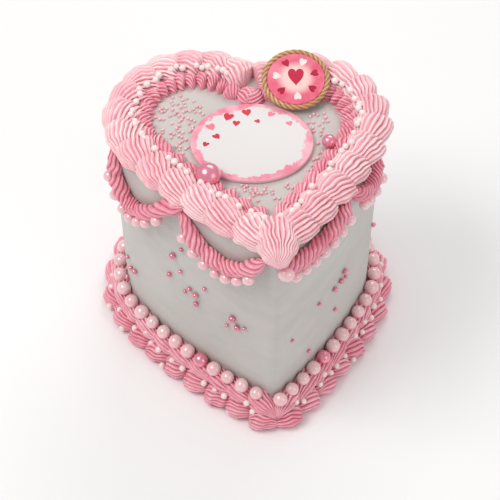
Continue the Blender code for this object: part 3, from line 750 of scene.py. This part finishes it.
def make_swags(pearly):
    """Twisted ropes of icing that hang under the top border, each with pearls below it."""
    draw = np.random.default_rng(SEED + 3)
    form, fine = sphere_form(64, 150), sphere_form(32, 20)
    unit = form.points
    ring = np.arccos(np.clip(unit[:, 2], -1.0, 1.0)) / math.pi
    around = np.arctan2(unit[:, 1], unit[:, 0])
    share = SWAG_START + SWAG_RUN * ring
    # The first colour is painted shade in the grooves between the strands, the third a painted highlight on
    # the strand tops.
    look = icing_look("swag_piping", srgb(202, 90, 116), srgb(240, 152, 170), srgb(249, 202, 210),
                      srgb(228, 118, 142))
    ropes, drops = Heap(), Heap()
    for plan in SWAGS.values():
        side, span = plan[0], abs(plan[2] - plan[1])
        travel, height = swag_line(plan, share)
        near_travel, near_height = swag_line(plan, share + 0.01)
        slope = np.arctan2(near_height - height, near_travel - travel)
        travel = np.maximum(travel, 0.0)
        tucked = np.clip(1.0 - np.minimum(ring, 1.0 - ring) * span / TUCK_LENGTH, 0.0, 1.0)
        inward = tucked * TUCK_DEPTH * MM
        spin = around + ROPE_TURNS * ring * math.pi
        wave = ridge_wave(ROPE_STRANDS * (around - ROPE_TWIST * ring * span / ROPE_TWIST_LENGTH), 0.75)
        thick = SWAG_RADIUS * np.minimum(1.0, 1.9 * np.sin(math.pi * ring) ** 0.6)
        lumps = np.abs(np.sin(ring * span * math.pi / ROPE_LUMP_LENGTH + draw.uniform(0.0, math.pi))) ** 0.6
        thick = thick * (0.62 + 0.26 * wave + 0.26 * lumps)
        travel = travel - thick * np.sin(slope) * np.sin(spin)
        height = height + thick * np.cos(slope) * np.sin(spin)
        x, y = on_heart(side, travel, np.maximum(SWAG_REACH - inward + thick * np.cos(spin), CLEARANCE))
        points = wavy(np.stack((x, y, height), axis=1), *ROPE_ROUGH, draw)
        ropes.add(points, form.faces, wave, draw.random())
        count = max(3, round(span / SWAG_PEARL["pitch"]))
        for index in range(count):
            travel, height = swag_line(plan, (index + 0.5) / count)
            spot = on_wall(side, travel, SWAG_PEARL["reach"] * MM, height - SWAG_PEARL["drop"] * MM)
            add_pearl(drops, fine, spot, SWAG_PEARL["radius"] * MM * draw.uniform(0.95, 1.04), draw)
    spot = on_wall(1, TIP_PEARL["travel"] * MM, TIP_PEARL["reach"] * MM, TIP_PEARL["height"] * MM)
    add_pearl(drops, fine, spot, TIP_PEARL["radius"] * MM, draw)
    ropes.make("swag_ropes", look, "rose_icing", list(SWAGS))
    drops.make("swag_pearls", pearly, "pale_pink_icing", list(SWAGS))


# The hearts printed on the plaque: middle, size and turn, in shares of the plaque's half sizes.
HEARTS = (
    (-0.66, 0.34, 0.10, 0.4), (-0.40, 0.60, 0.11, -0.3), (-0.08, 0.72, 0.10, 0.2),
    (0.30, 0.68, 0.08, -0.5), (-0.56, 0.10, 0.08, 0.6), (-0.26, 0.44, 0.08, -0.1),
    (0.62, 0.44, 0.07, 0.3), (-0.76, -0.10, 0.07, -0.4), (0.10, 0.50, 0.06, 0.5),
)


def heart_share(x, y, middle_x, middle_y, size, turn):
    """Below 0 inside a printed heart and above 0 outside it."""
    a = ((x - middle_x) * math.cos(turn) + (y - middle_y) * math.sin(turn)) / size
    b = ((y - middle_y) * math.cos(turn) - (x - middle_x) * math.sin(turn)) / size
    wide = a * a
    lifted = b - wide.math("SQRT", a.math("ABSOLUTE", a)) * 0.75
    return wide + lifted * lifted - 0.6


def plaque_look():
    """White sugar sheet with a torn pink watercolour border and a few hearts."""
    look = Look("printed_sugar_sheet", 0.38, Specular_IOR_Level=0.4)
    x = (look.axis(0) - PLAQUE_MIDDLE[0]) / PLAQUE_HALF[0]
    y = (look.axis(1) - PLAQUE_MIDDLE[1]) / PLAQUE_HALF[1]
    radius = (x * x + y * y) ** 0.5
    torn = radius + (look.noise(60.0, 5.0) - 0.5) * 0.3 + (look.noise(240.0, 4.0) - 0.5) * 0.16
    wash = look.noise(90.0, 4.0).smooth(0.35, 0.65).mix(srgb(232, 128, 152), srgb(244, 176, 190))
    colour = torn.smooth(0.86, 0.9).mix(srgb(221, 218, 217), wash)
    colour = radius.smooth(0.985, 0.995).mix(colour, srgb(238, 190, 200))
    for index, (mid_x, mid_y, size, turn) in enumerate(HEARTS):
        ink = srgb(206, 36, 62) if index % 3 else srgb(238, 120, 142)
        share = heart_share(x, y, mid_x, mid_y, size, turn)
        colour = share.below(0.0).mix(colour, ink)
    look.paint(Base_Color=colour)
    look.bump(look.noise(500.0), 0.1 * MM, 0.2)
    return look.material


def topper_look():
    """A pink printed disc with one heart in the middle and a ring of pale and dark hearts."""
    look = Look("printed_sugar_disc", 0.35, Specular_IOR_Level=0.4)
    x = (look.axis(0) - TOPPER_MIDDLE[0]) / TOPPER_RADIUS
    y = (look.axis(1) - TOPPER_MIDDLE[1]) / TOPPER_RADIUS
    radius = (x * x + y * y) ** 0.5
    wash = look.noise(70.0, 4.0).smooth(0.3, 0.7).mix(srgb(224, 84, 116), srgb(240, 132, 152))
    colour = radius.smooth(0.30, 0.62).mix(srgb(246, 206, 200), wash)
    for index in range(7):
        angle = math.tau * index / 7 + 0.3
        share = heart_share(x, y, 0.52 * math.cos(angle), 0.52 * math.sin(angle), 0.14, angle - math.pi / 2)
        colour = share.below(0.0).mix(colour, srgb(250, 226, 224) if index % 2 else srgb(176, 30, 60))
    share = heart_share(x, y, 0.0, -0.03, 0.3, 0.0)
    colour = share.below(0.0).mix(colour, srgb(196, 40, 74))
    look.paint(Base_Color=colour)
    look.bump(look.noise(500.0), 0.1 * MM, 0.2)
    return look.material


def soft_disc(name, half_x, half_y, thick, soft, segments):
    """A flat disc with softened edges, lying round the origin."""
    bm = bmesh.new()
    bmesh.ops.create_cone(bm, cap_ends=True, segments=segments, radius1=1.0, radius2=1.0, depth=thick)
    for vert in bm.verts:
        vert.co.x *= half_x
        vert.co.y *= half_y
    rim = [edge for edge in bm.edges if abs(edge.verts[0].co.z - edge.verts[1].co.z) < soft / 10.0]
    bmesh.ops.bevel(bm, geom=rim, offset=soft, segments=4, profile=0.5, affect="EDGES")
    mesh = bpy.data.meshes.new(name)
    bm.to_mesh(mesh)
    bm.free()
    mesh.shade_smooth()
    mesh.set_sharp_from_angle(angle=math.radians(40.0))
    made = bpy.data.objects.new(name, mesh)
    bpy.context.scene.collection.objects.link(made)
    return made


def make_plaque_and_topper():
    """The oval sugar plaque, and the round topper that leans in its tan rope."""
    plaque = soft_disc("sugar_plaque", PLAQUE_HALF[0], PLAQUE_HALF[1], PLAQUE_THICK, 0.8 * MM, 96)
    plaque.data.transform(Matrix.Translation((*PLAQUE_MIDDLE, CAKE_HEIGHT + CLEARANCE + PLAQUE_THICK / 2.0)))
    plaque.data.materials.append(plaque_look())
    place(plaque, ["plaque"])
    lean = Matrix.Translation(TOPPER_MIDDLE) @ Matrix.Rotation(TOPPER_TILT, 4, "X")
    sheet_radius = TOPPER_RADIUS - 2.0 * ROPE_RADIUS
    disc = soft_disc("topper_sheet", sheet_radius, sheet_radius, 2.4 * MM, 0.5 * MM, 72)
    disc.data.transform(lean)
    disc.data.materials.append(topper_look())
    place(disc, ["topper_disc"])
    ring_radius = TOPPER_RADIUS - ROPE_RADIUS
    form = torus_form(28, 220, ring_radius, ROPE_RADIUS)
    turn = np.arctan2(form.points[:, 1], form.points[:, 0])
    middle = np.stack((np.cos(turn), np.sin(turn), np.zeros(len(turn))), axis=1) * ring_radius
    off = form.points - middle
    outward = np.hypot(form.points[:, 0], form.points[:, 1]) - TOPPER_RADIUS + ROPE_RADIUS
    ring = np.arctan2(off[:, 2], outward)
    wave = ridge_wave(FRAME_STRANDS * ring + FRAME_TWIST * turn, 0.8)
    points = middle + off * (0.78 + 0.3 * wave)[:, None]
    rope = Heap()
    matrix = np.array(lean)
    rope.add(points @ matrix[:3, :3].T + matrix[:3, 3], form.faces, wave, 0.5)
    # The first colour is painted shade in the grooves between the strands, the third a painted highlight on
    # the strand tops.
    look = icing_look("tan_piping", srgb(128, 84, 52), srgb(196, 150, 104), srgb(226, 190, 146),
                      srgb(170, 118, 76))
    rope.make("topper_frame", look, "tan_icing", ["topper_rope"])


def make_balls(metal):
    """The large and the small metallic ball."""
    form = sphere_form(56, 40)
    draw = np.random.default_rng(SEED + 4)
    for name, ((x, y), radius) in (("ball_large", LARGE_BALL), ("ball_small", SMALL_BALL)):
        heap = Heap()
        middle = np.array((x, y, CAKE_HEIGHT + CLEARANCE + radius))
        heap.add(form.points * radius + middle, form.faces, 1.0, 0.4 + 0.2 * draw.random())
        heap.make(name + "_sugar", metal, "metallic_pink", [name])


def area_light(name, spot, target, size, power, colour):
    """A soft oblong light that faces its target."""
    lamp = bpy.data.lights.new(name, "AREA")
    lamp.shape = "RECTANGLE"
    lamp.size, lamp.size_y = size
    lamp.energy = power
    lamp.color = colour
    made = bpy.data.objects.new(name, lamp)
    made.location = spot
    made.rotation_euler = (Vector(target) - Vector(spot)).to_track_quat("-Z", "Y").to_euler()
    bpy.context.scene.collection.objects.link(made)


def make_stage():
    """A pale floor, soft studio light and the camera."""
    bm = bmesh.new()
    bmesh.ops.create_grid(bm, x_segments=2, y_segments=2, size=3.0)
    mesh = bpy.data.meshes.new("floor")
    bm.to_mesh(mesh)
    bm.free()
    floor = bpy.data.objects.new("floor", mesh)
    look = Look("floor_paper", 0.9)
    look.paint(Base_Color=look.noise(3.0).mix((0.955, 0.955, 0.955), (0.97, 0.97, 0.97)))
    mesh.materials.append(look.material)
    bpy.context.scene.collection.objects.link(floor)
    world = bpy.data.worlds.new("studio")
    world.use_nodes = True
    world.node_tree.nodes["Background"].inputs["Color"].default_value = (1.0, 1.0, 1.0, 1.0)
    world.node_tree.nodes["Background"].inputs["Strength"].default_value = SKY_STRENGTH
    bpy.context.scene.world = world
    for light in LIGHTS:
        area_light(*light)
    view = bpy.context.scene.view_settings
    view.view_transform = "Standard"
    camera = bpy.data.objects.new("camera", bpy.data.cameras.new("camera"))
    camera.data.lens = LENS
    camera.data.sensor_width = 36.0
    camera.data.clip_start, camera.data.clip_end = 0.01, 20.0
    camera.location = EYE
    camera.rotation_euler = (EYE_PITCH, 0.0, 0.0)
    bpy.context.scene.collection.objects.link(camera)
    bpy.context.scene.camera = camera


def main():
    """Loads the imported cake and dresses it."""
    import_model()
    white = pearl_look("white_pearl_sugar", srgb(246, 234, 230), srgb(252, 224, 224), 0.2, 0.0, 0.8)
    pearly = pearl_look("pink_pearl_sugar", srgb(244, 190, 196), srgb(250, 212, 214), 0.2, 0.15, 1.0)
    metal = pearl_look("metallic_pink_sugar", srgb(244, 142, 166), srgb(248, 158, 178), 0.2, 0.7, 0.8)
    make_body()
    make_toppings()
    make_top_border(white)
    make_base_border(white, pearly, metal)
    make_swags(pearly)
    make_plaque_and_topper()
    make_balls(metal)
    make_stage()


main()
